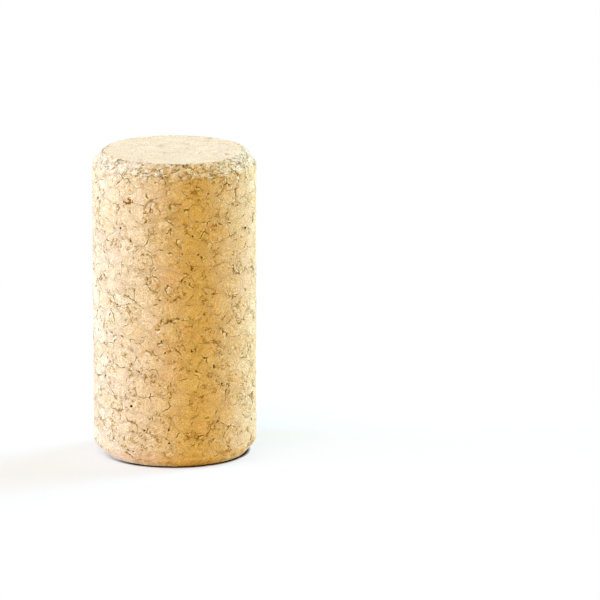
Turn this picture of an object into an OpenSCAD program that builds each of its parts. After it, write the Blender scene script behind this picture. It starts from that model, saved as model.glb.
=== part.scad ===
// Wine cork of bonded cork granules: one stopper, moulded as a rod, cut to length, ground round and
// chamfered at both ends. It stands on one end face. The origin is the centre of that face and +Z
// runs up the cork's axis.

/* [Cork] */
// Diameter of the ground barrel
cork_d = 24; // [20:0.5:30]
// Length from one end face to the other
cork_l = 45; // [33:0.5:54]

/* [Chamfered ends] */
// How far a chamfer reaches in from the barrel, across the end face
chamfer_w = 1.6; // [1:0.1:3.5]
// How far a chamfer runs along the barrel
chamfer_h = 1.8; // [1:0.1:3.5]
// Radius that tumbling leaves where the barrel meets a chamfer
shoulder_r = 0.9; // [0.2:0.1:1.4]
// Radius left where a chamfer meets the end face
lip_r = 0.4; // [0.1:0.1:0.8]

/* [Open seams] */
// Number of open seams between granules round the barrel
barrel_seams = 66; // [8:1:140]
// Number of open seams across each end face
face_seams = 11; // [3:1:24]
// Length of the longest open seam
seam_l = 2.8; // [1.4:0.1:3]
// Width of an open seam at its middle
seam_w = 0.24; // [0.14:0.02:0.4]
// Depth of an open seam
seam_depth = 0.22; // [0.1:0.02:0.3]
// Radius of the roundest granule that a seam bends round
granule_r = 1; // [0.8:0.1:2]
// Steepest slope of a barrel's seam to the barrel's own circles
seam_slope = 55; // [0:1:80]

/* [Torn pits] */
// Number of pits that grinding tore round the barrel
barrel_pits = 44; // [8:1:120]
// Number of pits across each end face
face_pits = 8; // [4:1:24]
// Mouth width of the largest pit
pit_d = 1; // [0.5:0.05:1.2]
// Depth of the largest pit at its deep side
pit_depth = 0.24; // [0.12:0.02:0.3]

/* [Torn chamfers] */
// Number of granules torn from the chamfer at each end
chamfer_pits = 24; // [6:1:40]
// Mouth width of the largest of their pockets
chamfer_pit_d = 1.5; // [0.8:0.1:1.8]
// Depth of the largest of their pockets at its deep side
chamfer_pit_depth = 0.26; // [0.12:0.02:0.36]

/* [Chipped shoulders] */
// Number of granules lost from the shoulder at each end
chips = 10; // [3:1:16]
// Length of the largest chip round the shoulder
chip_l = 2.4; // [1:0.1:3]
// Depth of the largest chip
chip_depth = 0.26; // [0.1:0.02:0.4]

/* [Hidden] */
$fn = 96;

// Even, patternless scatter: the fractional parts of a counter times these shares fill a square
// (the first two) and a line (the third) with no clumps and no repeats.
SHARE_ACROSS = 0.7548776662;
SHARE_ALONG = 0.5698402910;
SHARE_SIZE = 0.6180339887;
// The counter starts further on for each feature, so that no two features share places.
CHAMFER_START = 300;
PIT_START = 500;
CHIP_START = 900;
FACE_START = 1300;
TOP_START = 1700;
// Clearance from a feature's middle to the edge of the surface that it lies on.
BARREL_MARGIN = 0.6;
FACE_MARGIN = 0.9;
// Share of a chamfer's width that the middles of its pockets spread over.
CHAMFER_SPREAD = 0.4;
// Shortest open seam and smallest pit or chip, as a share of the largest.
LEAST = 0.4;
// Radius of the flattest granule that a seam bends round, as a multiple of the roundest.
FLATTEST = 3;
// A torn granule's outline has this many sides.
GRANULE_SIDES = 5;
// An open seam has this many straight stretches along each of its two sides.
SEAM_STEPS = 3;
// A rounded edge has this many straight steps in the outline.
EDGE_STEPS = 2;

function scatter(i, share) = i * share - floor(i * share);
function size_share(i) = LEAST + (1 - LEAST) * pow(scatter(i, SHARE_SIZE), 2);
function bend_of(i) = granule_r * (1 + (FLATTEST - 1) * scatter(2 * i, SHARE_ALONG));
// Every other seam lies under its granule instead of over it.
function slope_of(i) = seam_slope * (2 * scatter(3 * i, SHARE_SIZE) - 1) + 180 * (i % 2);

// Length from a corner to where its rounding of radius r starts, where the outline turns by `turn`.
function run_of(r, turn) = r * tan(turn / 2);

cork_r = cork_d / 2;
face_r = cork_r - chamfer_w;

// What an end's edges turn through: the shoulder turns away from the barrel, the lip onto the face.
shoulder_turn = atan2(chamfer_w, chamfer_h);
lip_turn = 90 - shoulder_turn;

// The ground barrel's straight stretch, from one rounded shoulder to the other.
barrel_from = chamfer_h + run_of(shoulder_r, shoulder_turn);
barrel_to = cork_l - barrel_from;

// The flat part of an end face, out to its rounded lip.
flat_r = face_r - run_of(lip_r, lip_turn);

function polar(r, angle) = r * [cos(angle), sin(angle)];

// Points on a circle's arc, both ends included.
function arc(centre, r, from, to) = [
    for (k = [0:EDGE_STEPS]) centre + polar(r, from + (to - from) * k / EDGE_STEPS)
];

// Outline of the lower end, from the axis out across the face and its lip and up round the shoulder.
function end_outline() = concat(
    [[0, 0]],
    arc([flat_r, lip_r], lip_r, -90, lip_turn - 90),
    arc([cork_r - shoulder_r, barrel_from], shoulder_r, -shoulder_turn, 0)
);

// The turned body: barrel, two chamfers and two end faces in one outline.
module turned_body() {
    lower = end_outline();
    upper = [for (k = [len(lower) - 1:-1:0]) [lower[k].x, cork_l - lower[k].y]];
    rotate_extrude() polygon(concat(lower, upper));
}

// Outline of an open seam in its own plane: a crescent that is seam_w wide at its middle and pointed
// at both tips, with its length l along a circle of radius `bend` that runs up through [0, 0].
function crescent(l, bend) = [
    for (side = [1, -1], k = [0:SEAM_STEPS - 1])
        let (t = side * (2 * k / SEAM_STEPS - 1))
            polar(bend + side * seam_w / 2 * (1 - t * t), t * l / (2 * bend) * 180 / PI) - [bend, 0]
];

// An open seam, drawn at the surface point [0, 0, 0] with the surface's outside towards +X.
module seam(l, bend, slope) {
    rotate([slope, 0, 0])
        rotate([0, 90, 0])
            linear_extrude(height = 2 * seam_depth, center = true)
                polygon(crescent(l, bend));
}

// A pit is the pocket of a torn granule: its floor slants from that depth on one side up to the
// surface on the other. It is drawn at the surface point [0, 0, 0], with the outside towards +X.
module pit(d, depth, slope) {
    rotate([slope, 0, 0])
        translate([-depth / 2, 0, 0])
            rotate([0, 90 - atan(depth / d), 0])
                cylinder(d = d, h = 2 * depth, $fn = GRANULE_SIDES);
}

// A chip is a flat break of that length and depth across a rounded shoulder that faces +X.
module chip(l, depth, slope) {
    rotate([slope, 0, 0])
        translate([-depth, 0, 0])
            rotate([0, 90, 0])
                cylinder(d = l, h = 2 * depth, $fn = GRANULE_SIDES);
}

// Carries its children to scatter place i on the barrel's surface.
module on_barrel(i) {
    span = barrel_to - barrel_from - 2 * BARREL_MARGIN;
    rotate([0, 0, 360 * scatter(i, SHARE_ACROSS)])
        translate([cork_r, 0, barrel_from + BARREL_MARGIN + span * scatter(i, SHARE_ALONG)])
            children();
}

// Carries its children to scatter place i on the lower end face, and turns them to face down.
module on_face(i) {
    reach = flat_r - FACE_MARGIN;
    rotate([0, 0, 360 * scatter(i, SHARE_ACROSS)])
        translate([reach * sqrt(scatter(i, SHARE_ALONG)), 0, 0])
            rotate([0, 90, 0])
                children();
}

// Carries its children to scatter place i on the lower chamfer, and turns them to face as it does.
module on_chamfer(i) {
    inward = 0.5 + CHAMFER_SPREAD * (scatter(i, SHARE_ALONG) - 0.5);
    rotate([0, 0, 360 * scatter(i, SHARE_SIZE)])
        translate([cork_r - chamfer_w * inward, 0, chamfer_h * (1 - inward)])
            rotate([0, shoulder_turn, 0])
                children();
}

module barrel_seam_cuts() {
    for (i = [1:barrel_seams]) {
        on_barrel(i) seam(seam_l * size_share(i), bend_of(i), slope_of(i));
    }
}

module barrel_pit_cuts() {
    for (i = [PIT_START + 1:PIT_START + barrel_pits]) {
        k = size_share(i);
        on_barrel(i) pit(pit_d * k, pit_depth * k, 360 * scatter(i, SHARE_SIZE));
    }
}

module face_seam_cuts(start) {
    for (i = [start + 1:start + face_seams]) {
        on_face(i) seam(seam_l * size_share(i), bend_of(i), 360 * scatter(i, SHARE_SIZE));
    }
}

module face_pit_cuts(start) {
    for (i = [start + 1:start + face_pits]) {
        k = size_share(i);
        on_face(i) pit(pit_d * k, pit_depth * k, 360 * scatter(i, SHARE_SIZE));
    }
}

module chamfer_pit_cuts(start) {
    for (i = [start + 1:start + chamfer_pits]) {
        k = size_share(2 * i);
        on_chamfer(i) pit(chamfer_pit_d * k, chamfer_pit_depth * k, 360 * scatter(3 * i, SHARE_ACROSS));
    }
}

// Chips lie along the lower shoulder, cut in square to the corner between barrel and chamfer.
module chip_cuts(start) {
    shoulder_back = shoulder_r * (1 / cos(shoulder_turn / 2) - 1);
    for (i = [start + 1:start + chips]) {
        k = size_share(2 * i);
        rotate([0, 0, 360 * scatter(i, SHARE_SIZE)])
            translate([cork_r, 0, chamfer_h])
                rotate([0, shoulder_turn / 2, 0])
                    translate([-shoulder_back, 0, 0])
                        chip(chip_l * k, chip_depth * k, 360 * scatter(i, SHARE_ALONG));
    }
}

// Everything that is cut at the lower end: round its shoulder, on its chamfer and across its face.
module end_cuts(start) {
    chip_cuts(start + CHIP_START);
    chamfer_pit_cuts(start + CHAMFER_START);
    face_seam_cuts(start + FACE_START);
    face_pit_cuts(start + FACE_START + PIT_START);
}

module cork() {
    color("burlywood")
        difference() {
            turned_body();
            barrel_seam_cuts();
            barrel_pit_cuts();
            end_cuts(0);
            translate([0, 0, cork_l]) mirror([0, 0, 1]) end_cuts(TOP_START);
        }
}

cork();
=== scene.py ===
"""Wine cork of bonded cork granules: the ground stopper, its finish, and the studio around it."""

import logging
import math
from dataclasses import dataclass
from enum import Enum
from typing import Optional, Union

import bpy
import numpy as np
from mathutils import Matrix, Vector


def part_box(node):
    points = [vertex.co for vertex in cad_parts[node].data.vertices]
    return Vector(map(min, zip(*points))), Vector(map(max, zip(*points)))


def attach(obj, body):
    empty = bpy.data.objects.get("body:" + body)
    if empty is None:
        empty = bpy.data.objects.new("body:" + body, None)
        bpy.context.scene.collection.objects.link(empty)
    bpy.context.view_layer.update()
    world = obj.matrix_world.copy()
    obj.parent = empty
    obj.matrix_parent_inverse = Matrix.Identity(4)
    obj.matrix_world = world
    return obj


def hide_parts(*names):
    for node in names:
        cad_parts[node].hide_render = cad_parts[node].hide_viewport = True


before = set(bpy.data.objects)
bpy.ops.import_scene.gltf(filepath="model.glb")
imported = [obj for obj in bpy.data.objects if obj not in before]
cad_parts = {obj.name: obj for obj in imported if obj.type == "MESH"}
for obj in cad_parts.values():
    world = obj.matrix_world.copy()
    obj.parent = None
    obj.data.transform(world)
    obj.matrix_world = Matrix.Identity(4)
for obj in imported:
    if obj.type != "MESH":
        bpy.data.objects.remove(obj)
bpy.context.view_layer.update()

LOG = logging.getLogger("wine_cork")
MM = 0.001

# Even, patternless scatter, as the solid has it: the fractional parts of a counter times these
# shares fill a square (the first two) and a line (the third).
SHARE_ACROSS = 0.7548776662
SHARE_ALONG = 0.5698402910
SHARE_SIZE = 0.6180339887
# The counter starts further on for each kind of mark, so that no two kinds share places.
CHAMFER_START = 300
PIT_START = 500
CHIP_START = 900
FACE_START = 1300
TOP_START = 1700
# Shortest seam and smallest pit or chip, as a share of the largest.
LEAST = 0.4

Triple = tuple[float, float, float]
Colour = tuple[float, float, float, float]
Term = Union["Value", float]
Options = Optional[dict[str, object]]
WHITE: Colour = (1.0, 1.0, 1.0, 1.0)


def linear(tone: int) -> Colour:
    """Turns a colour written as 0xRRGGBB into linear red, green, blue and alpha."""
    shares = [(tone >> shift & 255) / 255 for shift in (16, 8, 0)]
    return tuple(c / 12.92 if c <= 0.04045 else ((c + 0.055) / 1.055) ** 2.4 for c in shares) + (1.0,)


def scatter(counter: int, share: float) -> float:
    """Gives the fractional part of a counter times a share."""
    return counter * share - math.floor(counter * share)


def size_share(counter: int) -> float:
    """Gives a mark's size as a share of the largest: mostly small, now and then large."""
    return LEAST + (1 - LEAST) * scatter(counter, SHARE_SIZE) ** 2


def smooth_step(low: float, high: float, x: np.ndarray) -> np.ndarray:
    """Rises smoothly from 0 at low to 1 at high: 3t^2 - 2t^3 on the clipped share t."""
    t = np.clip((x - low) / (high - low), 0, 1)
    return t * t * (3 - 2 * t)


# ---------------------------------------------------------------------------------------------
# Shader maths
# ---------------------------------------------------------------------------------------------


class Output(Enum):
    """Which of a Voronoi texture's measures is wanted."""

    CELL = "Color"
    DISTANCE = "Distance"


@dataclass(frozen=True)
class Value:
    """A socket, on which Python's arithmetic adds Math nodes."""

    net: "Net"
    socket: bpy.types.NodeSocket

    def __add__(self, other: Term) -> "Value":
        """Sum of the two."""
        return self.net.math("ADD", self, other)

    __radd__ = __add__

    def __sub__(self, other: Term) -> "Value":
        """Difference of the two."""
        return self.net.math("SUBTRACT", self, other)

    def __rsub__(self, other: Term) -> "Value":
        """Difference, where this value is taken from a number."""
        return self.net.math("SUBTRACT", other, self)

    def __mul__(self, other: Term) -> "Value":
        """Product of the two."""
        return self.net.math("MULTIPLY", self, other)

    __rmul__ = __mul__

    def __gt__(self, other: Term) -> "Value":
        """1 where this is greater, else 0."""
        return self.net.math("GREATER_THAN", self, other)

    def step(self, low: float, high: float) -> "Value":
        """Smooth step of this value from 0 at low to 1 at high."""
        made = self.net.node(
            "ShaderNodeMapRange",
            {"interpolation_type": "SMOOTHSTEP"},
            {"Value": self, "From Min": low, "From Max": high},
        )
        return self.net.out(made, "Result")

    def band(self, rise: tuple[float, float], fall: tuple[float, float]) -> "Value":
        """1 where this lies between two spans: it rises over the first and falls over the second."""
        return self.step(*rise) * (1 - self.step(*fall))


class Net:
    """A node tree, a material's or a geometry group's, that expressions add nodes to."""

    def __init__(self, tree: bpy.types.NodeTree) -> None:
        """Takes the tree that the nodes go into."""
        self.tree = tree

    def node(self, kind: str, settings: Options = None, inputs: Options = None) -> bpy.types.Node:
        """Adds one node.

        Args:
            kind: the node's type name.
            settings: attributes to set, before any socket is.
            inputs: values or Values by the input's identifier or name.

        Returns:
            The new node.
        """
        made = self.tree.nodes.new(kind)
        for key, setting in (settings or {}).items():
            setattr(made, key, setting)
        for key, given in (inputs or {}).items():
            socket = self._socket(made.inputs, key)
            if isinstance(given, Value):
                self.tree.links.new(given.socket, socket)
            else:
                socket.default_value = given
        return made

    def out(self, made: bpy.types.Node, key: str) -> Value:
        """Gives a node's output by its identifier or name."""
        return Value(self, self._socket(made.outputs, key))

    def _socket(self, sockets: bpy.types.bpy_prop_collection, key: str) -> bpy.types.NodeSocket:
        """Finds a socket by its identifier, or else by its name."""
        return {socket.identifier: socket for socket in sockets}.get(key) or sockets[key]

    def math(self, operation: str, a: Term, b: Term = 0.0) -> Value:
        """Adds a Math node on two terms."""
        made = self.node("ShaderNodeMath", {"operation": operation}, {"Value": a, "Value_001": b})
        return self.out(made, "Value")

    def most(self, first: Value, *others: Value) -> Value:
        """Takes the greatest of several values.

        Args:
            first: one of them.
            others: the rest.

        Returns:
            The greatest.
        """
        for other in others:
            first = self.math("MAXIMUM", first, other)
        return first

    def vector(
        self, operation: str, a: Value, b: Union[Value, Triple] = (0.0, 0.0, 0.0), result: str = "Vector"
    ) -> Value:
        """Adds a Vector Math node on one or two vectors, whose result is a Vector or a Value."""
        made = self.node("ShaderNodeVectorMath", {"operation": operation}, {"Vector": a, "Vector_001": b})
        return self.out(made, result)

    def scaled(self, vector: Value, times: float) -> Value:
        """Multiplies a vector by a number."""
        return self.vector("MULTIPLY", vector, (times, times, times))

    def mix(self, share: Term, a: Union[Value, Colour], b: Union[Value, Colour]) -> Value:
        """Mixes two colours by a share, 0 for the first and 1 for the second."""
        inputs = {"Factor_Float": share, "A_Color": a, "B_Color": b}
        return self.out(self.node("ShaderNodeMix", {"data_type": "RGBA"}, inputs), "Result_Color")

    def parts(self, vector: Value) -> tuple[Value, Value, Value]:
        """Separates a vector into its three values."""
        made = self.node("ShaderNodeSeparateXYZ", inputs={"Vector": vector})
        return tuple(self.out(made, axis) for axis in "XYZ")

    def thrice(self, value: Value) -> Value:
        """Makes a vector with the same value on all three axes."""
        made = self.node("ShaderNodeCombineXYZ", inputs={"X": value, "Y": value, "Z": value})
        return self.out(made, "Vector")

    def noise(self, place: Value, size: float, detail: float = 2.0) -> Value:
        """Gives noise from 0 to 1 whose swells are about that size across."""
        inputs = {"Vector": place, "Scale": 1 / size, "Detail": detail}
        return self.out(self.node("ShaderNodeTexNoise", inputs=inputs), "Fac")

    def drift(self, place: Value, size: float, reach: float, detail: float = 2.0) -> Value:
        """Gives a wandering offset, from three noises taken about their middle.

        Args:
            place: where the noises are read.
            size: width of their swells.
            reach: the offset goes up to about half of this each way.
            detail: how many finer noises are added.

        Returns:
            The offset, a vector in the same unit as the place.
        """
        inputs = {"Vector": place, "Scale": 1 / size, "Detail": detail}
        cloud = self.out(self.node("ShaderNodeTexNoise", inputs=inputs), "Color")
        return self.scaled(self.vector("SUBTRACT", cloud, (0.5, 0.5, 0.5)), reach)

    def ramp(self, share: Value, stops: list[tuple[float, Colour]]) -> Value:
        """Adds a colour ramp that holds each stop's colour from its place to the next.

        Args:
            share: where the ramp is read, from 0 to 1.
            stops: each stop's place and colour, in order.

        Returns:
            The colour there.
        """
        made = self.node("ShaderNodeValToRGB", inputs={"Fac": share})
        made.color_ramp.interpolation = "CONSTANT"
        while len(made.color_ramp.elements) < len(stops):
            made.color_ramp.elements.new(0.5)
        for element, (at, tone) in zip(made.color_ramp.elements, stops):
            element.position = at
            element.color = tone
        return self.out(made, "Color")

    def cells(self, place: Value, size: float, wanted: Output, edges: bool = False) -> Value:
        """Adds a Voronoi texture whose cells are about that size across.

        Args:
            place: where the texture is read.
            size: a cell's width.
            wanted: the cell's own random vector, or a distance.
            edges: measures the distance to the nearest border instead of to the cell's middle.

        Returns:
            The random vector, or the distance in the same unit as the place.
        """
        feature = "DISTANCE_TO_EDGE" if edges else "F1"
        made = self.node("ShaderNodeTexVoronoi", {"feature": feature}, {"Vector": place, "Scale": 1 / size})
        value = self.out(made, wanted.value)
        return value * size if wanted is Output.DISTANCE else value

    def blended_cells(self, place: Value, size: float, blend: float = 0.45) -> Value:
        """Gives each cell's own random vector, blended a little into its neighbours'."""
        inputs = {"Vector": place, "Scale": 1 / size, "Smoothness": blend}
        return self.out(self.node("ShaderNodeTexVoronoi", {"feature": "SMOOTH_F1"}, inputs), "Color")


# ---------------------------------------------------------------------------------------------
# Cork granules
# ---------------------------------------------------------------------------------------------


@dataclass(frozen=True)
class Patches:
    """Patches of about that size in millimetres: noise, stepped from 0 at low to 1 at high.

    The noise is read aside from the point, so that no two kinds of patch agree.
    """

    size: float
    aside: Triple
    low: float
    high: float

    def draw(self, net: Net, point: Value, lift: Optional[Value] = None) -> Value:
        """Adds the nodes. A lift is added to the noise, so that patches grow and join with it."""
        noise = net.noise(net.vector("ADD", point, self.aside), self.size)
        return (noise if lift is None else noise + lift).step(self.low, self.high)


@dataclass(frozen=True)
class Marks:
    """What the granule pattern says of a point."""

    whole: Value
    crumb: Value
    crumbly: Value
    grain: Value
    seam: Value
    stain: Value
    tear: Value
    # Raised brinks, which the finish paints pale as a painted highlight.
    lip: Value
    speck: Value
    # Crumbs lost from the cut, sunk in the relief; the finish darkens them a little as painted shade.
    lost: Value
    relief: Value


@dataclass(frozen=True)
class Granules:
    """Bonded granules as a pattern that fills space, in millimetres.

    Cells of two sizes stand for whole granules and for the crumb between them. Both are flattened
    along the cork's axis, as moulding presses them. Patches say where the cut is crumbly, where
    crumbs have parted, where granules' borders are open, and where torn strokes are kept.
    """

    whole: float = 3.3
    crumb: float = 0.8
    flatness: float = 0.72
    warp: float = 1.8
    ragged: float = 0.45
    nibbled: float = 0.2
    crinkle: float = 0.5
    fibre: float = 0.85
    seam_half: float = 0.05
    speck_size: float = 1.8
    speck_r: float = 0.19
    step_height: float = 0.05
    groove: float = 0.05
    speck_depth: float = 0.05
    lip_height: float = 0.03
    bite: float = 0.1
    crumbly: Patches = Patches(2.8, (11.0, 3.0, 8.0), 0.54, 0.72)
    parted: Patches = Patches(0.7, (31.0, 7.0, 5.0), 0.53, 0.58)
    opened: Patches = Patches(1.2, (0.0, 0.0, 0.0), 0.53, 0.59)
    kept: Patches = Patches(0.8, (9.0, 1.0, 4.0), 0.44, 0.54)

    def lay(self, net: Net, place: Value, rough: Value, spread: float = 0.0) -> Marks:
        """Adds the pattern's nodes.

        Args:
            net: the tree they go into.
            place: the point, in metres.
            rough: how crumbly the cut is there, from 0 to 1.
            spread: how much wider a seam is drawn on each side, in millimetres, on a coarse mesh.

        Returns:
            What the pattern says of the point.
        """
        return Pattern(self, net, place, rough, spread).marks()

    def measure(self, points: np.ndarray, rough: np.ndarray, spread: float) -> np.ndarray:
        """Reads the pattern's relief at points, as the finish has it.

        A geometry node group holds the same nodes as the finish, on a loose cloud of the points.

        Args:
            points: the points, a row for each, in metres.
            rough: how crumbly the cut is at each, from 0 to 1.
            spread: how much wider a seam is drawn on each side, in millimetres.

        Returns:
            How far each point lies below the granules' highest places, in metres.
        """
        cloud = bpy.data.meshes.new("probe")
        cloud.vertices.add(len(points))
        cloud.vertices.foreach_set("co", points.astype(np.float32).ravel())
        cloud.attributes.new("rough", "FLOAT", "POINT").data.foreach_set("value", rough.astype(np.float32))
        probe = bpy.data.objects.new("probe", cloud)
        bpy.context.scene.collection.objects.link(probe)

        group = bpy.data.node_groups.new("probe", "GeometryNodeTree")
        group.interface.new_socket("Geometry", in_out="INPUT", socket_type="NodeSocketGeometry")
        group.interface.new_socket("Geometry", in_out="OUTPUT", socket_type="NodeSocketGeometry")
        net = Net(group)
        place = net.out(net.node("GeometryNodeInputPosition"), "Position")
        named = net.node("GeometryNodeInputNamedAttribute", {"data_type": "FLOAT"}, {"Name": "rough"})
        relief = self.lay(net, place, net.out(named, "Attribute"), spread).relief
        given = net.out(net.node("NodeGroupInput"), "Geometry")
        settings = {"data_type": "FLOAT", "domain": "POINT"}
        inputs = {"Geometry": given, "Name": "relief", "Value": relief}
        stored = net.node("GeometryNodeStoreNamedAttribute", settings, inputs)
        net.node("NodeGroupOutput", inputs={"Geometry": net.out(stored, "Geometry")})
        probe.modifiers.new("probe", "NODES").node_group = group

        read = probe.evaluated_get(bpy.context.evaluated_depsgraph_get()).data
        depths = np.empty(len(points), np.float32)
        read.attributes["relief"].data.foreach_get("value", depths)
        bpy.data.objects.remove(probe)
        bpy.data.meshes.remove(cloud)
        bpy.data.node_groups.remove(group)
        return depths.astype(float) * MM


class Pattern:
    """The granules' nodes at one point: what the marks share, and a method for each kind of mark."""

    def __init__(self, sizes: Granules, net: Net, place: Value, rough: Value, spread: float) -> None:
        """Adds what the marks share.

        The point is moved by noises of three sizes before its cell is looked up, so that borders
        wander, fray and look nibbled. A steep place is the crumbliest part of a chamfer, where
        tears take over from seams.

        Args:
            sizes: the granules' sizes.
            net: the tree that the nodes go into.
            place: the point, in metres.
            rough: how crumbly the cut is there, from 0 to 1.
            spread: how much wider a seam is drawn on each side, in millimetres.
        """
        self.sizes, self.net, self.rough, self.spread = sizes, net, rough, spread
        self.half = sizes.seam_half + spread
        self.point = net.scaled(place, 1 / MM)
        warp = net.drift(self.point, 2.2, sizes.warp)
        fray = net.drift(self.point, 0.5, sizes.ragged)
        nibble = net.drift(self.point, 0.2, sizes.nibbled, 1.0)
        self.moved = net.vector("ADD", net.vector("ADD", self.point, warp), net.vector("ADD", fray, nibble))
        pressed = net.vector("MULTIPLY", self.moved, (1.0, 1.0, 1 / sizes.flatness))

        self.whole_edge = net.cells(pressed, sizes.whole, Output.DISTANCE, edges=True)
        self.crumb_edge = net.cells(pressed, sizes.crumb, Output.DISTANCE, edges=True)
        self.whole_draw = net.parts(net.cells(pressed, sizes.whole, Output.CELL))[0]
        self.crumb_draw = net.parts(net.cells(pressed, sizes.crumb, Output.CELL))[2]
        self.whole = net.blended_cells(pressed, sizes.whole)
        self.crumb = net.blended_cells(pressed, sizes.crumb)
        self.grain = self._grain()
        self.wave = net.noise(net.vector("ADD", pressed, (5.0, 17.0, 2.0)), sizes.crinkle)
        self.fibres = self._fibres(fray)

        self.crumbly = sizes.crumbly.draw(net, self.point, rough * 0.3)
        self.parted = sizes.parted.draw(net, self.point)
        self.opened = sizes.opened.draw(net, self.point)
        self.steep = rough.step(0.45, 0.95)
        self.level = 1 - self.steep * 0.8
        self.share = net.math("MINIMUM", rough * 2.2 + 0.06, 1.0)

    def marks(self) -> Marks:
        """Adds every mark, and the relief that they make together.

        Returns:
            The marks, each from 0 to 1, and the relief in millimetres downwards.
        """
        sizes = self.sizes
        seam, tear, lip, speck = self._seam(), self._tear(), self._brink_and_highlight(), self._speck()
        lost = (self.crumb_draw > 0.74) * self.rough.step(0.3, 0.9)
        lift = self.whole_draw * 0.6 + self.crumbly * self.crumb_draw * 0.7
        relief = (1 - lift) * sizes.step_height + (seam + tear * 0.6) * sizes.groove
        relief = relief + speck * sizes.speck_depth - lip * sizes.lip_height + lost * sizes.bite
        return Marks(
            whole=self.whole,
            crumb=self.crumb,
            crumbly=self.crumbly,
            grain=self.grain,
            seam=seam,
            stain=self._stain(),
            tear=tear,
            lip=lip,
            speck=speck,
            lost=lost,
            relief=relief,
        )

    def _seam(self) -> Value:
        """Draws open seams: granules' borders, and crumbs' borders, wrinkles and strokes among crumbs.

        Returns:
            1 in the middle of an open seam and 0 off it.
        """
        among = self.parted * self.crumbly
        border = self._line(self.whole_edge, self.half) * (self.opened * 0.9 + 0.1)
        small = self._line(self.crumb_edge, self.half * 0.8) * self.parted * (self.crumbly * 0.65 + 0.02)
        wrinkle = self._crest(self.wave, 0.01, 0.045, 0.15) * among
        stroke = self.grain.step(0.4, 0.33) * among * self.level
        return self.net.most(border, small * self.level, wrinkle * 0.2, stroke * 0.3) * self.share

    def _stain(self) -> Value:
        """Draws a stain a little wider than an open seam, on both sides of it.

        Returns:
            1 beside an open seam and 0 away from it.
        """
        whole = (1 - self.whole_edge.step(self.half, self.half * 2.5)) * self.opened
        crumb = (1 - self.crumb_edge.step(self.half, self.half * 2)) * self.parted * self.crumbly
        return self.net.most(whole, crumb) * self.level * self.share

    def _tear(self) -> Value:
        """Draws fine torn strokes along the fibres, most of all where the cut is steep.

        Returns:
            1 in a stroke and 0 off it.
        """
        kept = self.sizes.kept.draw(self.net, self.point)
        torn = self.net.most(self.steep, self.crumbly * (self.share * 0.5))
        return self._crest(self.fibres, 0.015, 0.05, 0.1) * kept * torn

    def _brink_and_highlight(self) -> Value:
        """Draws raised brinks beside borders and wrinkles, and curls along the fibres. The relief raises
        them a little, and the finish paints them pale as a painted highlight.

        Returns:
            1 on a brink's crest and 0 off it.
        """
        half = self.half
        brink = self.whole_edge.band((half * 2, half * 3), (half * 4, half * 7)) * self.opened
        fold = self.wave.band((0.53, 0.56), (0.57, 0.62)) * self.parted * (self.crumbly * 0.7 + 0.1)
        curl = self.fibres.band((0.54, 0.58), (0.6, 0.66)) * self.steep
        return self.net.most(brink * (self.whole_draw > 0.3), fold * self.level, curl) * self.share

    def _speck(self) -> Value:
        """Draws small dark specks, at the middles of some cells of their own.

        Returns:
            1 in a speck and 0 off it.
        """
        spot = self.net.cells(self.moved, self.sizes.speck_size, Output.DISTANCE)
        chance = self.net.parts(self.net.cells(self.moved, self.sizes.speck_size, Output.CELL))[0]
        reach = self.sizes.speck_r
        near = 1 - spot.step(reach * 0.7 + self.spread * 0.5, reach * 1.1 + self.spread)
        return near * (chance > 0.3) * self.net.math("MINIMUM", self.rough * 2 + 0.25, 1.0)

    def _line(self, edge: Value, half: float) -> Value:
        """1 on a border between cells, and 0 past that half width from it."""
        return 1 - edge.step(half * 0.6, half * 1.2)

    def _crest(self, noise: Value, low: float, high: float, widen: float) -> Value:
        """1 along the lines where a noise crosses its middle, which the spread makes wider."""
        off = self.net.math("ABSOLUTE", noise - 0.5)
        return 1 - off.step(low + self.spread * widen, high + self.spread * widen * 2)

    def _fibres(self, fray: Value) -> Value:
        """Gives noise that leans over sideways with height.

        Args:
            fray: the offset that frays it.

        Returns:
            The noise, from 0 to 1.
        """
        net = self.net
        up = net.thrice(net.parts(self.point)[2])
        sheared = net.vector("ADD", self.point, net.vector("MULTIPLY", up, (-0.7, 0.7, 0.0)))
        aside = net.vector("ADD", net.vector("ADD", sheared, fray), (5.0, 17.0, 2.0))
        return net.noise(aside, self.sizes.fibre)

    def _grain(self) -> Value:
        """Gives a fine streaky grain that runs its own way in each granule.

        The place along a granule's own direction counts for less, which draws the grain out along it.

        Returns:
            The grain, from 0 to 1.
        """
        net = self.net
        along = net.vector("NORMALIZE", net.vector("SUBTRACT", self.whole, (0.5, 0.5, 0.5)))
        reach = net.vector("DOT_PRODUCT", self.point, along, result="Value")
        drawn = net.vector("SUBTRACT", self.point, net.vector("MULTIPLY", along, net.thrice(reach * 0.72)))
        return net.noise(drawn, 0.2)


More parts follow.
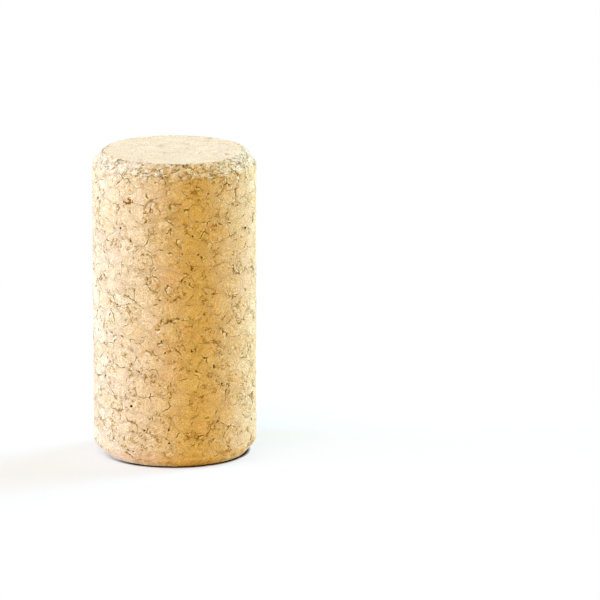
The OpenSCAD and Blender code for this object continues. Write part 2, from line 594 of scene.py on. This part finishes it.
@dataclass(frozen=True)
class CorkFinish:
    """Matte ground cork: granules of slightly different tans, dark open seams and specks, with painted
    highlights on raised brinks and painted shade in sunk places.

    Tones are written as 0xRRGGBB, and sizes are in millimetres.
    """

    granules: Granules
    swell: float = 4.5
    blotch: float = 1.0
    mottle: float = 0.13
    cream: int = 0xE4CAA5
    tan: int = 0xDFC197
    ochre: int = 0xDBB888
    rosy: int = 0xE0BD9A
    olive: int = 0xDBBF92
    russet: int = 0xD9B684
    face_tone: int = 0xF1E5D6
    # Dark flecks of the grain and mottling, and painted shade in sunk crumb pockets.
    dark_fleck_and_pocket_shade_tone: int = 0xC8923C
    stain_tone: int = 0xC69416
    # Dark open seams, and painted shade in the modelled pits and chips.
    seam_and_recess_shade_tone: int = 0x7C4800
    tear_tone: int = 0x8E6A1C
    speck_tone: int = 0x4A2000
    # Pale flecks of the grain and mottling, and the painted highlight on raised brinks.
    pale_fleck_and_highlight_tone: int = 0xF8EAC4

    def make(self) -> bpy.types.Material:
        """Builds the material, which reads the mesh's attributes rough, torn and pale.

        Returns:
            The material.
        """
        material = bpy.data.materials.new("cork_granules")
        material.use_nodes = True
        material.node_tree.nodes.clear()
        net = Net(material.node_tree)
        place = net.out(net.node("ShaderNodeTexCoord"), "Object")
        point = net.scaled(place, 1 / MM)
        rough, torn, pale = (self._read(net, name) for name in ("rough", "torn", "pale"))
        marks = self.granules.lay(net, place, rough)
        mottle = net.noise(point, self.mottle, 1.0)

        height = marks.grain * 0.05 + mottle * 0.05 - marks.relief
        bump = net.node("ShaderNodeBump", inputs={"Strength": 1.0, "Distance": MM, "Height": height})
        inputs = {
            "Base Color": self._colour(net, point, marks, mottle, rough, torn, pale),
            "Roughness": 0.9 - marks.lip * 0.1,
            "Normal": net.out(bump, "Normal"),
            "Specular IOR Level": 0.02,
        }
        shader = net.node("ShaderNodeBsdfPrincipled", inputs=inputs)
        net.node("ShaderNodeOutputMaterial", inputs={"Surface": net.out(shader, "BSDF")})
        return material

    def _read(self, net: Net, name: str) -> Value:
        """Reads an attribute of the mesh."""
        return net.out(net.node("ShaderNodeAttribute", {"attribute_name": name}), "Fac")

    def _colour(
        self, net: Net, point: Value, marks: Marks, mottle: Value, rough: Value, torn: Value, pale: Value
    ) -> Value:
        """Lays the tones over each other: hues, paleness, mottling and grain, then the marks, which include
        painted highlights on raised brinks and painted shade in sunk pockets and in the modelled pits and
        chips.

        Args:
            net: the material's tree.
            point: the point, in millimetres.
            marks: what the granule pattern says of it.
            mottle: fine noise from 0 to 1.
            rough: how crumbly the cut is.
            torn: depth of the modelled seams, pits and chips, as a share of a pit's.
            pale: how pale the cork is cut.

        Returns:
            The colour.
        """
        colour = self._hues(net, net.parts(marks.whole)[1])
        colour = net.mix(marks.crumbly * 0.3, colour, self._hues(net, net.parts(marks.crumb)[0]))
        swell = net.noise(point, self.swell)
        uneven = pale + (net.noise(point, self.blotch) - 0.5) * 0.9
        layers = [
            (swell.step(0.45, 0.7) * 0.2, self.ochre),
            (swell.step(0.5, 0.25) * 0.2, self.cream),
            (uneven.step(0.3, 0.8) * 0.75, self.face_tone),
            (mottle.step(0.5, 0.68) * 0.6, self.pale_fleck_and_highlight_tone),
            (mottle.step(0.5, 0.32) * 0.65, self.dark_fleck_and_pocket_shade_tone),
            (marks.grain.step(0.5, 0.7) * 0.45, self.pale_fleck_and_highlight_tone),
            (marks.grain.step(0.5, 0.3) * 0.4, self.dark_fleck_and_pocket_shade_tone),
            # Painted highlight on the raised brinks, folds and curls.
            (marks.lip * 0.9, self.pale_fleck_and_highlight_tone),
            (marks.stain * 0.75, self.stain_tone),
            (marks.tear * 0.85, self.tear_tone),
            (marks.seam * 0.95, self.seam_and_recess_shade_tone),
            # Painted shade in the sunk pockets of lost crumbs.
            (marks.lost * 0.1, self.dark_fleck_and_pocket_shade_tone),
            # Darker the deeper the modelled cut: the seams' dark joints, and painted shade in the pits and
            # chips.
            (torn.step(0.1, 1.0) * (0.5 - rough * 0.5), self.seam_and_recess_shade_tone),
            (marks.speck * (1 - rough.step(0.5, 1.0) * 0.5), self.speck_tone),
        ]
        for share, tone in layers:
            colour = net.mix(share, colour, linear(tone))
        return colour

    def _hues(self, net: Net, share: Value) -> Value:
        """Gives each cell one of the cork's hues.

        Args:
            net: the material's tree.
            share: the cell's own random share.

        Returns:
            The hue.
        """
        stops = [(0.0, self.cream), (0.2, self.tan), (0.4, self.rosy), (0.5, self.tan)]
        stops += [(0.72, self.olive), (0.84, self.ochre), (0.95, self.russet)]
        return net.ramp(share, [(at, linear(tone)) for at, tone in stops])


# ---------------------------------------------------------------------------------------------
# The stopper
# ---------------------------------------------------------------------------------------------


@dataclass
class GroundCork:
    """The stopper: a ground barrel with a chamfer, a rounded shoulder and a flat face at each end.

    Lengths are in metres. Open seams, pits, pockets and chips lie where the solid has them, and
    the granules' finer relief is added to them.
    """

    radius: float
    length: float
    granules: Granules
    chamfer_w: float = 1.6 * MM
    chamfer_h: float = 1.8 * MM
    shoulder_r: float = 0.9 * MM
    lip_r: float = 0.4 * MM
    quarter_steps: int = 92
    lip_steps: int = 3
    chamfer_steps: int = 12
    shoulder_steps: int = 4
    barrel_steps: int = 184
    barrel_seams: int = 66
    face_seams: int = 11
    barrel_pits: int = 44
    face_pits: int = 8
    chamfer_pits: int = 24
    chips: int = 10
    seam_l: float = 2.8 * MM
    seam_w: float = 0.24 * MM
    seam_depth: float = 0.22 * MM
    granule_r: float = 1.0 * MM
    flattest: float = 3.0
    seam_slope: float = 55.0
    pit_d: float = 1.0 * MM
    pit_depth: float = 0.24 * MM
    chamfer_pit_d: float = 1.5 * MM
    chamfer_pit_depth: float = 0.26 * MM
    chamfer_spread: float = 0.4
    chip_l: float = 2.4 * MM
    chip_depth: float = 0.26 * MM
    barrel_margin: float = 0.6 * MM
    face_margin: float = 0.9 * MM
    mark_reach: float = 2.0 * MM
    seam_blur: float = 0.06 * MM
    granule_spread: float = 0.06
    pit_sides: int = 5
    crumbliest: float = math.radians(-70.0)

    @classmethod
    def from_frame(cls, node: str, granules: Granules) -> "GroundCork":
        """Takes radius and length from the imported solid."""
        low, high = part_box(node)
        return cls(radius=(high[0] - low[0]) / 2, length=high[2] - low[2], granules=granules)

    def __post_init__(self) -> None:
        """Works out what the outline's corners turn through and where its stretches start."""
        self.shoulder_turn = math.atan2(self.chamfer_w, self.chamfer_h)
        self.lip_turn = math.pi / 2 - self.shoulder_turn
        self.barrel_from = self.chamfer_h + self.shoulder_r * math.tan(self.shoulder_turn / 2)
        self.flat_r = self.radius - self.chamfer_w - self.lip_r * math.tan(self.lip_turn / 2)

    def outline(self) -> tuple[np.ndarray, np.ndarray]:
        """Draws the outline.

        The lower half runs out along the lip's arc, the chamfer and the shoulder's arc, then up the
        barrel; on an arc the normal is (cos a, sin a). The upper half is its mirror image.

        Returns:
            Its points and their outward normals, as (radius, height) rows.
        """
        lip_a = np.linspace(-math.pi / 2, self.lip_turn - math.pi / 2, self.lip_steps + 1)
        shoulder_a = np.linspace(-self.shoulder_turn, 0, self.shoulder_steps + 1)
        lip_n = np.stack([np.cos(lip_a), np.sin(lip_a)], 1)
        shoulder_n = np.stack([np.cos(shoulder_a), np.sin(shoulder_a)], 1)
        lip = np.array([self.flat_r, self.lip_r]) + self.lip_r * lip_n
        bend = np.array([self.radius - self.shoulder_r, self.barrel_from])
        shoulder = bend + self.shoulder_r * shoulder_n
        along = np.linspace(0, 1, self.chamfer_steps + 1)[1:-1, None]
        chamfer = lip[-1] + (shoulder[0] - lip[-1]) * along
        chamfer_n = np.repeat(lip_n[-1:], len(chamfer), 0)
        half = np.concatenate([lip, chamfer, shoulder])
        half_n = np.concatenate([lip_n, chamfer_n, shoulder_n])
        heights = np.linspace(self.barrel_from, self.length - self.barrel_from, self.barrel_steps + 1)[1:-1]
        barrel = np.stack([np.full_like(heights, self.radius), heights], 1)
        barrel_n = np.repeat([[1.0, 0.0]], len(barrel), 0)
        upper = half[::-1] * (1, -1) + (0, self.length)
        points = np.concatenate([half, barrel, upper])
        return points, np.concatenate([half_n, barrel_n, half_n[::-1] * (1, -1)])

    def side(self) -> tuple[np.ndarray, np.ndarray]:
        """Carries the outline round as (r cos t, r sin t, z).

        Returns:
            Points and outward normals, in grids with a row for each point of the outline and a
            column for each turn t.
        """
        ring = 4 * self.quarter_steps
        turn = np.arange(ring) * (2 * math.pi / ring) - 0.75 * math.pi
        around = np.stack([np.cos(turn), np.sin(turn)], 1)
        carried = []
        for rows in self.outline():
            grid = np.empty((len(rows), ring, 3))
            grid[..., :2] = rows[:, None, :1] * around
            grid[..., 2] = rows[:, None, 1]
            carried.append(grid)
        return carried[0], carried[1]

    def disc(self) -> np.ndarray:
        """Draws a square grid into an end face's flat disc, so that it has no pole.

        A point at share s of the square's half width, on the edge of the square of that size, goes
        to radius s and to the angle that its place along that square's side gives.

        Returns:
            The grid's points across the face.
        """
        line = np.linspace(-1, 1, self.quarter_steps + 1)
        a, b = np.meshgrid(line, line, indexing="ij")
        wide = np.abs(a) > np.abs(b)
        big = np.where(wide, a, b)
        share = np.divide(np.where(wide, b, a), big, out=np.zeros_like(big), where=big != 0)
        angle = np.where(wide, math.pi / 4 * share, math.pi / 2 - math.pi / 4 * share)
        return self.flat_r * big[..., None] * np.stack([np.cos(angle), np.sin(angle)], -1)

    def rim(self) -> tuple[np.ndarray, np.ndarray]:
        """Finds the disc's outermost points in its grid.

        Returns:
            Their rows and columns, in the side's order round a ring.
        """
        steps = self.quarter_steps
        count, none, full = np.arange(steps), np.zeros(steps, int), np.full(steps, steps)
        rows = np.concatenate([count, full, full - count, none])
        return rows, np.concatenate([none, count, full, full - count])

    def skin(self) -> tuple[np.ndarray, np.ndarray, np.ndarray]:
        """Closes the side by a disc at each end, whose rim is the side's first or last ring.

        Returns:
            Vertices, their outward normals, and quads as rows of four vertex numbers.
        """
        side, side_n = self.side()
        rows, ring = side.shape[:2]
        number = np.arange(rows * ring).reshape(rows, ring)
        ahead = np.roll(number, -1, 1)
        quads = [np.stack([number[:-1], ahead[:-1], ahead[1:], number[1:]], -1).reshape(-1, 4)]
        vertices, vertex_n = [side.reshape(-1, 3)], [side_n.reshape(-1, 3)]
        inner = self.disc()[1:-1, 1:-1].reshape(-1, 2)
        inside = self.quarter_steps - 1
        for row, height, up in ((0, 0.0, -1.0), (rows - 1, self.length, 1.0)):
            start = sum(len(part) for part in vertices)
            grid = np.empty((inside + 2, inside + 2), int)
            grid[1:-1, 1:-1] = start + np.arange(len(inner)).reshape(inside, inside)
            grid[self.rim()] = number[row]
            quad = np.stack([grid[:-1, :-1], grid[1:, :-1], grid[1:, 1:], grid[:-1, 1:]], -1).reshape(-1, 4)
            quads.append(quad if up > 0 else quad[:, ::-1])
            vertices.append(np.column_stack([inner, np.full(len(inner), height)]))
            vertex_n.append(np.tile([0.0, 0.0, up], (len(inner), 1)))
        return np.concatenate(vertices), np.concatenate(vertex_n), np.concatenate(quads)

    def seam_cut(self, s: np.ndarray, t: np.ndarray, counter: int, slope: float) -> np.ndarray:
        """Depth of an open seam: a crescent on a circle through the place, pointed at both tips.

        Args:
            s: distance along the seam's level direction.
            t: distance square to it, up the surface.
            counter: the seam's number in the scatter.
            slope: the seam's slope in radians.

        Returns:
            The cut's depth at each point.
        """
        length = self.seam_l * size_share(counter)
        bend = self.granule_r * (1 + (self.flattest - 1) * scatter(2 * counter, SHARE_ALONG))
        along = s * math.cos(slope) + t * math.sin(slope)
        across = t * math.cos(slope) - s * math.sin(slope) + bend
        off = np.abs(np.hypot(along, across) - bend)
        share = np.arctan2(along, across) * bend / (length / 2)
        half = self.seam_w / 2 * np.clip(1 - share**2, 0, 1) + self.seam_blur
        return self.seam_depth * (1 - smooth_step(0.3, 1.0, off / half)) * (np.abs(share) < 1)

    def pit_cut(self, s: np.ndarray, t: np.ndarray, wide: float, deep: float, slope: float) -> np.ndarray:
        """Depth of a torn granule's pocket: five-sided, with a floor that slants up to one side.

        Args:
            s: distance from its middle along the surface's level direction.
            t: distance square to it.
            wide: width of its mouth.
            deep: depth at its deep side.
            slope: which way it slants, in radians.

        Returns:
            The cut's depth at each point.
        """
        fall = t * math.cos(slope) - s * math.sin(slope)
        across = t * math.sin(slope) + s * math.cos(slope)
        sides = np.arange(self.pit_sides) * (2 * math.pi / self.pit_sides)
        reach = (fall[:, None] * np.cos(sides) + across[:, None] * np.sin(sides)).max(1)
        reach = reach / (wide / 2 * math.cos(math.pi / self.pit_sides))
        return np.clip(deep * (0.5 + fall / wide), 0, deep) * (1 - smooth_step(0.8, 1.15, reach))

    def torn_pit(self, s: np.ndarray, t: np.ndarray, counter: int) -> np.ndarray:
        """Cuts the pit with that number, on the barrel or on an end face.

        Args:
            s: distance from its middle along the surface's level direction.
            t: distance square to it.
            counter: the pit's number in the scatter.

        Returns:
            The cut's depth at each point.
        """
        k = size_share(counter)
        slope = 2 * math.pi * scatter(counter, SHARE_SIZE)
        return self.pit_cut(s, t, self.pit_d * k, self.pit_depth * k, slope)

    def barrel_marks(self, points: np.ndarray) -> np.ndarray:
        """Cuts the seams and pits round the barrel, on the unrolled barrel.

        Args:
            points: points of the smooth surface.

        Returns:
            Their depth at each point: the deepest where they cross.
        """
        turn = np.arctan2(points[:, 1], points[:, 0])
        span = self.length - 2 * self.barrel_from - 2 * self.barrel_margin
        depth = np.zeros(len(points))
        counters = list(range(1, self.barrel_seams + 1))
        counters += list(range(PIT_START + 1, PIT_START + self.barrel_pits + 1))
        on_barrel = np.hypot(points[:, 0], points[:, 1]) > self.radius - 0.5 * MM
        for counter in counters:
            middle = 2 * math.pi * scatter(counter, SHARE_ACROSS)
            s = (np.mod(turn - middle + math.pi, 2 * math.pi) - math.pi) * self.radius
            t = points[:, 2] - self.barrel_from - self.barrel_margin - span * scatter(counter, SHARE_ALONG)
            near = on_barrel & (np.abs(s) < self.mark_reach) & (np.abs(t) < self.mark_reach)
            if counter < PIT_START:
                lean = math.radians(self.seam_slope) * (2 * scatter(3 * counter, SHARE_SIZE) - 1)
                cut = self.seam_cut(s[near], t[near], counter, lean + math.pi * (counter % 2))
            else:
                cut = self.torn_pit(s[near], t[near], counter)
            depth[near] = np.maximum(depth[near], cut)
        return depth

    def face_marks(self, points: np.ndarray, start: int) -> np.ndarray:
        """Cuts the seams and pits of the lower end face, on its plane.

        Args:
            points: points of the smooth surface.
            start: where this end's numbers start in the scatter.

        Returns:
            Their depth at each point: the deepest where they cross.
        """
        depth = np.zeros(len(points))
        on_face = points[:, 2] < 0.1 * MM
        reach = self.flat_r - self.face_margin
        first = start + FACE_START
        counters = list(range(first + 1, first + self.face_seams + 1))
        counters += list(range(first + PIT_START + 1, first + PIT_START + self.face_pits + 1))
        for counter in counters:
            middle = 2 * math.pi * scatter(counter, SHARE_ACROSS)
            out = np.array([math.cos(middle), math.sin(middle)])
            place = points[:, :2] - reach * math.sqrt(scatter(counter, SHARE_ALONG)) * out
            s = place @ np.array([-out[1], out[0]])
            t = place @ out
            near = on_face & (np.abs(s) < self.mark_reach) & (np.abs(t) < self.mark_reach)
            if counter <= first + self.face_seams:
                lean = 2 * math.pi * scatter(counter, SHARE_SIZE)
                cut = self.seam_cut(s[near], t[near], counter, lean)
            else:
                cut = self.torn_pit(s[near], t[near], counter)
            depth[near] = np.maximum(depth[near], cut)
        return depth

    def chamfer_marks(self, points: np.ndarray, start: int) -> np.ndarray:
        """Cuts the pockets torn from the lower chamfer, each on the plane that touches it there.

        Args:
            points: points of the smooth surface.
            start: where this end's numbers start in the scatter.

        Returns:
            Their depth at each point: the deepest where they cross.
        """
        depth = np.zeros(len(points))
        for counter in range(start + CHAMFER_START + 1, start + CHAMFER_START + self.chamfer_pits + 1):
            inward = 0.5 + self.chamfer_spread * (scatter(counter, SHARE_ALONG) - 0.5)
            turn = 2 * math.pi * scatter(counter, SHARE_SIZE)
            out = np.array([math.cos(turn), math.sin(turn), 0.0])
            up = np.array([0.0, 0.0, 1.0])
            middle = (self.radius - self.chamfer_w * inward) * out + self.chamfer_h * (1 - inward) * up
            place = points - middle
            s = place @ np.array([-out[1], out[0], 0.0])
            t = place @ (math.sin(self.shoulder_turn) * out + math.cos(self.shoulder_turn) * up)
            near = np.linalg.norm(place, axis=1) < 1.2 * MM
            k = size_share(2 * counter)
            slope = 2 * math.pi * scatter(3 * counter, SHARE_ACROSS)
            wide, deep = self.chamfer_pit_d * k, self.chamfer_pit_depth * k
            cut = self.pit_cut(s[near], t[near], wide, deep, slope)
            depth[near] = np.maximum(depth[near], cut)
        return depth

    def chip_marks(self, points: np.ndarray, start: int) -> np.ndarray:
        """Breaks flat chips from the lower shoulder.

        Args:
            points: points of the smooth surface.
            start: where this end's numbers start in the scatter.

        Returns:
            Their depth at each point: how far it stands over the break.
        """
        depth = np.zeros(len(points))
        back = self.shoulder_r * (1 / math.cos(self.shoulder_turn / 2) - 1)
        lean = self.shoulder_turn / 2
        for counter in range(start + CHIP_START + 1, start + CHIP_START + self.chips + 1):
            k = size_share(2 * counter)
            middle = 2 * math.pi * scatter(counter, SHARE_SIZE)
            out = np.array([math.cos(middle), math.sin(middle), 0.0])
            facing = out * math.cos(lean) - np.array([0.0, 0.0, math.sin(lean)])
            corner = self.radius * out + np.array([0.0, 0.0, self.chamfer_h])
            place = points - (corner - back * facing)
            over = place @ facing + self.chip_depth * k
            aside = np.linalg.norm(place - (place @ facing)[:, None] * facing, axis=1)
            cut = np.clip(over, 0, None) * (1 - smooth_step(0.8, 1.1, aside / (self.chip_l * k / 2)))
            depth = np.maximum(depth, cut)
        return depth

    def marks(self, points: np.ndarray) -> np.ndarray:
        """Cuts every mark: the barrel's, and each end's, with the upper end turned upside down.

        Args:
            points: points of the smooth surface.

        Returns:
            The deepest cut at each point.
        """
        turned = points * (1, 1, -1) + (0, 0, self.length)
        found = [self.barrel_marks(points)]
        for end, start in ((points, 0), (turned, TOP_START)):
            found += [self.face_marks(end, start), self.chamfer_marks(end, start)]
            found += [self.chip_marks(end, start)]
        return np.max(found, axis=0)

    def crumble(self, points: np.ndarray) -> np.ndarray:
        """Says how crumbly the cut is.

        It is 0 on the faces, 0.4 round the barrel and 0.3 on the lower chamfer. On the top chamfer
        it swells from 0.4 to 1 and back once round: 0.7 + 0.3 cos(t - t0), most of all a little to
        the right of the front.

        Args:
            points: points of the smooth surface.

        Returns:
            A share from 0 to 1 at each point.
        """
        from_end = np.minimum(points[:, 2], self.length - points[:, 2])
        from_axis = np.hypot(points[:, 0], points[:, 1])
        off_face = smooth_step(-0.8 * MM, 0.3 * MM, from_axis - self.flat_r)
        on_barrel = smooth_step(self.barrel_from - 0.6 * MM, self.barrel_from + 1.0 * MM, from_end)
        turn = np.arctan2(points[:, 1], points[:, 0])
        swell = 0.7 + 0.3 * np.cos(turn - self.crumbliest)
        on_slope = np.where(points[:, 2] > self.length / 2, swell, 0.3)
        return off_face * (on_slope + (0.4 - on_slope) * on_barrel)

    def paleness(self, points: np.ndarray) -> np.ndarray:
        """Says how pale the cork is cut: 1 on the faces, 0.55 on the chamfers and 0 on the barrel.

        Args:
            points: points of the smooth surface.

        Returns:
            A share from 0 to 1 at each point.
        """
        from_end = np.minimum(points[:, 2], self.length - points[:, 2])
        on_barrel = smooth_step(self.barrel_from - 0.8 * MM, self.barrel_from + 0.8 * MM, from_end)
        off_face = smooth_step(-0.4 * MM, 0.6 * MM, np.hypot(points[:, 0], points[:, 1]) - self.flat_r)
        return (1 - on_barrel) * (1 - 0.45 * off_face)

    def make(self, finish: CorkFinish) -> bpy.types.Object:
        """Builds the stopper: the skin, moved in along its normals by the granules and the marks.

        Args:
            finish: what it is dressed in.

        Returns:
            The stopper, at the origin.
        """
        points, normals, quads = self.skin()
        torn = self.marks(points)
        rough = self.crumble(points)
        depth = self.granules.measure(points, rough, self.granule_spread) * (0.6 + rough) + torn
        depth -= depth.min()
        mesh = bpy.data.meshes.new("ground_cork")
        mesh.vertices.add(len(points))
        mesh.vertices.foreach_set("co", (points - normals * depth[:, None]).astype(np.float32).ravel())
        mesh.loops.add(quads.size)
        mesh.loops.foreach_set("vertex_index", quads.astype(np.int32).ravel())
        mesh.polygons.add(len(quads))
        mesh.polygons.foreach_set("loop_start", np.arange(0, quads.size, 4, dtype=np.int32))
        mesh.update(calc_edges=True)
        fields = {"torn": torn / self.pit_depth, "rough": rough, "pale": self.paleness(points)}
        for name, values in fields.items():
            mesh.attributes.new(name, "FLOAT", "POINT").data.foreach_set("value", values.astype(np.float32))
        mesh.shade_smooth()
        mesh.validate()
        mesh.materials.append(finish.make())
        cork = bpy.data.objects.new("ground_cork", mesh)
        bpy.context.scene.collection.objects.link(cork)
        return cork


# ---------------------------------------------------------------------------------------------
# Studio
# ---------------------------------------------------------------------------------------------


@dataclass
class Lamp:
    """A soft round lamp that points at the cork. Angles are in degrees, lengths in metres."""

    name: str
    azimuth: float
    elevation: float
    distance: float
    width: float
    power: float
    tint: Triple

    def hang(self, target: Vector) -> None:
        """Hangs the lamp round a target. Azimuth 0 is in front of it and 90 to its right.

        Args:
            target: the place that it points at.
        """
        light = bpy.data.lights.new(self.name, "AREA")
        light.shape = "DISK"
        light.size = self.width
        light.energy = self.power
        light.color = self.tint
        a, e = math.radians(self.azimuth), math.radians(self.elevation)
        out = Vector((math.sin(a) * math.cos(e), -math.cos(a) * math.cos(e), math.sin(e)))
        lamp = bpy.data.objects.new(self.name, light)
        lamp.location = target + out * self.distance
        lamp.rotation_euler = (-out).to_track_quat("-Z", "Y").to_euler()
        bpy.context.scene.collection.objects.link(lamp)


@dataclass
class Studio:
    """Pale floor, soft lamps and a long-lensed camera. Lengths are in metres.

    The tinted lamps and the warm world give the cork its pale flanks and warm middle.
    """

    middle: float
    floor_half: float = 3.0
    camera_distance: float = 0.97
    camera_elevation: float = 13.2
    field: float = 87.6 * MM
    aside: float = 18.3 * MM
    sensor: float = 36.0
    # Painted contact shadow on the floor: how far ambient occlusion looks, and where it fades in along x
    # from the left.
    contact_shadow_paint_reach: float = 0.7 * MM
    contact_shadow_paint_from: float = -11.0 * MM
    contact_shadow_paint_to: float = -6.0 * MM
    fade_from: float = 30.0 * MM
    fade_to: float = 110.0 * MM
    # Tone of the painted contact shadow on the floor.
    contact_shadow_paint_tone: int = 0x3A2408
    bounce_tone: int = 0xF8D080
    floor_tone: Colour = (0.8, 0.8, 0.8, 1.0)
    ambient: Colour = (0.59, 0.445, 0.02, 1.0)
    lamps: tuple[Lamp, ...] = (
        Lamp("side", -85.0, 4.0, distance=0.6, width=0.4, power=12.6, tint=(0.265, 0.5, 1.0)),
        Lamp("high", -35.0, 70.0, distance=0.6, width=0.4, power=2.0, tint=(0.75, 0.7, 0.8)),
        Lamp("rim", 120.0, 16.0, distance=0.6, width=0.5, power=10.5, tint=(0.32, 0.6, 1.0)),
    )

    def make(self) -> None:
        """Builds the floor, the world, the lamps and the camera."""
        bpy.context.scene.view_settings.view_transform = "Standard"
        self._floor()
        self._world()
        for lamp in self.lamps:
            lamp.hang(Vector((0, 0, self.middle)))
        self._camera()

    def _seen(self, net: Net) -> Value:
        """Tells a ray from the camera, also by way of a reflection or through glass, from others.

        Args:
            net: the tree that the nodes go into.

        Returns:
            1 for such a ray and 0 for any other.
        """
        path = net.node("ShaderNodeLightPath")
        rays = [net.out(path, f"Is {kind} Ray") for kind in ("Camera", "Glossy", "Transmission")]
        return net.math("MINIMUM", rays[0] + rays[1] + rays[2], 1.0)

    def _floor(self) -> None:
        """Lays a flat square floor under the cork."""
        half = self.floor_half
        mesh = bpy.data.meshes.new("floor")
        corners = [(-half, -half, 0), (half, -half, 0), (half, half, 0), (-half, half, 0)]
        mesh.from_pydata(corners, [], [(0, 1, 2, 3)])
        mesh.materials.append(self._floor_finish())
        floor = bpy.data.objects.new("floor", mesh)
        bpy.context.scene.collection.objects.link(floor)

    def _floor_finish(self) -> bpy.types.Material:
        """Builds the floor's material.

        To a seen ray the floor is half matte white, which holds the cork's shadow, and half a glow
        that shows as white. Further out it is all glow. To any other ray it has the bounce tone, so
        that it throws warm light back up. For a seen ray a painted contact shadow darkens both halves
        towards a dark tone where ambient occlusion finds the cork's edge close, and it fades out at the
        left.

        Returns:
            The material.
        """
        material = bpy.data.materials.new("floor")
        material.use_nodes = True
        material.node_tree.nodes.clear()
        net = Net(material.node_tree)
        place = net.out(net.node("ShaderNodeTexCoord"), "Object")
        # Painted contact shadow: ambient occlusion near the cork's edge, faded out towards the left,
        # darkens the seen floor.
        contact_shadow_paint_ao = net.node("ShaderNodeAmbientOcclusion", inputs={"Distance": self.contact_shadow_paint_reach})
        right = net.parts(place)[0].step(self.contact_shadow_paint_from, self.contact_shadow_paint_to)
        clear = 1 - net.out(contact_shadow_paint_ao, "AO").step(0.9, 0.35) * right
        seen = self._seen(net)
        contact = linear(self.contact_shadow_paint_tone)
        lit = net.mix(seen, linear(self.bounce_tone), net.mix(clear, contact, self.floor_tone))
        matte = net.node("ShaderNodeBsdfDiffuse", inputs={"Color": lit})
        shown = net.mix(clear, contact, WHITE)
        glow = net.node("ShaderNodeEmission", inputs={"Color": shown, "Strength": 1.0})
        away = net.vector("LENGTH", place, result="Value").step(self.fade_from, self.fade_to)
        inputs = {
            "Fac": seen * (0.5 + away * 0.5),
            "Shader": net.out(matte, "BSDF"),
            "Shader_001": net.out(glow, "Emission"),
        }
        mixed = net.node("ShaderNodeMixShader", inputs=inputs)
        net.node("ShaderNodeOutputMaterial", inputs={"Surface": net.out(mixed, "Shader")})
        return material

    def _world(self) -> None:
        """A world that lights softly and warmly and shows as white."""
        world = bpy.data.worlds.new("studio")
        bpy.context.scene.world = world
        world.use_nodes = True
        world.node_tree.nodes.clear()
        net = Net(world.node_tree)
        colour = net.mix(self._seen(net), self.ambient, WHITE)
        sky = net.node("ShaderNodeBackground", inputs={"Color": colour, "Strength": 1.0})
        net.node("ShaderNodeOutputWorld", inputs={"Surface": net.out(sky, "Background")})

    def _camera(self) -> None:
        """A camera in front, a little above, that aims beside the cork's middle."""
        e = math.radians(self.camera_elevation)
        back = Vector((0, -math.cos(e), math.sin(e)))
        lens = bpy.data.cameras.new("camera")
        lens.sensor_width = self.sensor
        lens.lens = self.sensor * self.camera_distance / self.field
        camera = bpy.data.objects.new("camera", lens)
        camera.location = Vector((self.aside, 0, self.middle)) + back * self.camera_distance
        camera.rotation_euler = (-back).to_track_quat("-Z", "Y").to_euler()
        bpy.context.scene.collection.objects.link(camera)
        bpy.context.scene.camera = camera


def main() -> None:
    """Builds the stopper in its finish and the studio."""
    granules = Granules()
    stopper = GroundCork.from_frame("cork", granules)
    piece = stopper.make(CorkFinish(granules))
    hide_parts("cork")
    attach(piece, "root")
    LOG.info("ground_cork: %d faces", len(piece.data.polygons))
    Studio(middle=stopper.length / 2).make()


if __name__ == "__main__":
    logging.basicConfig(level=logging.INFO)
    main()
